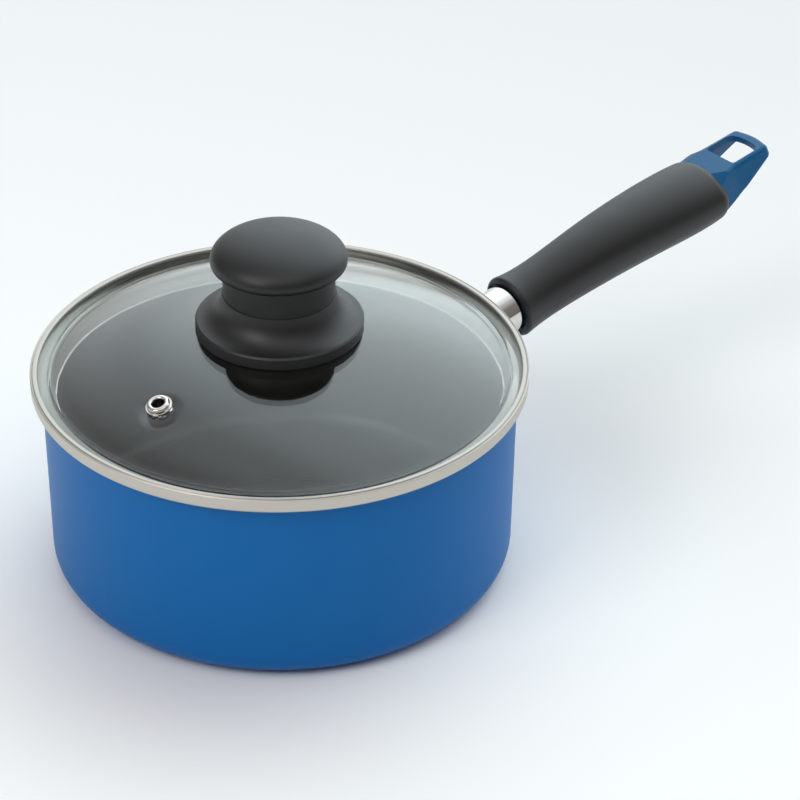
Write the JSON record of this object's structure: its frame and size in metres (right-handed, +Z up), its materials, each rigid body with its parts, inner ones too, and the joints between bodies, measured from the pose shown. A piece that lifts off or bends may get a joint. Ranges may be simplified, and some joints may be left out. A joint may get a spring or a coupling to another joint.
{
  "type": "saucepan with lid",
  "caption": "Small straight-sided saucepan with a rimmed domed glass lid, a mushroom knob, a steam vent and a long handle that ends in a hanging loop.",
  "frame": {"origin": "centre of the base, on the surface that the pan stands on", "axes": "+Z up, +X along the handle seen from above"},
  "size_m": [0.3175, 0.172, 0.1268],
  "materials": {
    "blue_enamel_paint": "gloss blue enamel outside, dark grey non-stick coating inside the pan",
    "base_steel": "rolled magnetic steel",
    "stainless_band": "satin stainless steel",
    "polished_steel": "polished stainless steel",
    "clear_glass": "clear tempered glass",
    "black_phenolic": "satin moulded phenolic",
    "insert_brass": "turned",
    "zinc_steel": "zinc plated",
    "silicone": "matt silicone",
    "boss_aluminium": "turned"
  },
  "bodies": {
    "pan": {"pan_body": "blue_enamel_paint", "base_plate": "base_steel", "handle_boss": "boss_aluminium", "handle_ferrule": "polished_steel", "handle_grip": "black_phenolic", "hanging_end": "blue_enamel_paint", "handle_bolt": "zinc_steel", "bolt_spring_washer": "zinc_steel"},
    "lid": {"lid_band": "stainless_band", "lid_glass": "clear_glass", "vent_eyelet": "polished_steel", "knob_guard": "black_phenolic", "knob_cap": "black_phenolic", "knob_insert": "insert_brass", "knob_screw": "zinc_steel", "knob_washer": "zinc_steel", "knob_upper_seal": "silicone", "knob_lower_seal": "silicone"}
  },
  "joints": [
    {"name": "lid_lift", "type": "slide", "parent": "pan", "child": "lid", "axis": [0, 0, 1], "range_m": [0, 0.12]}
  ]
}
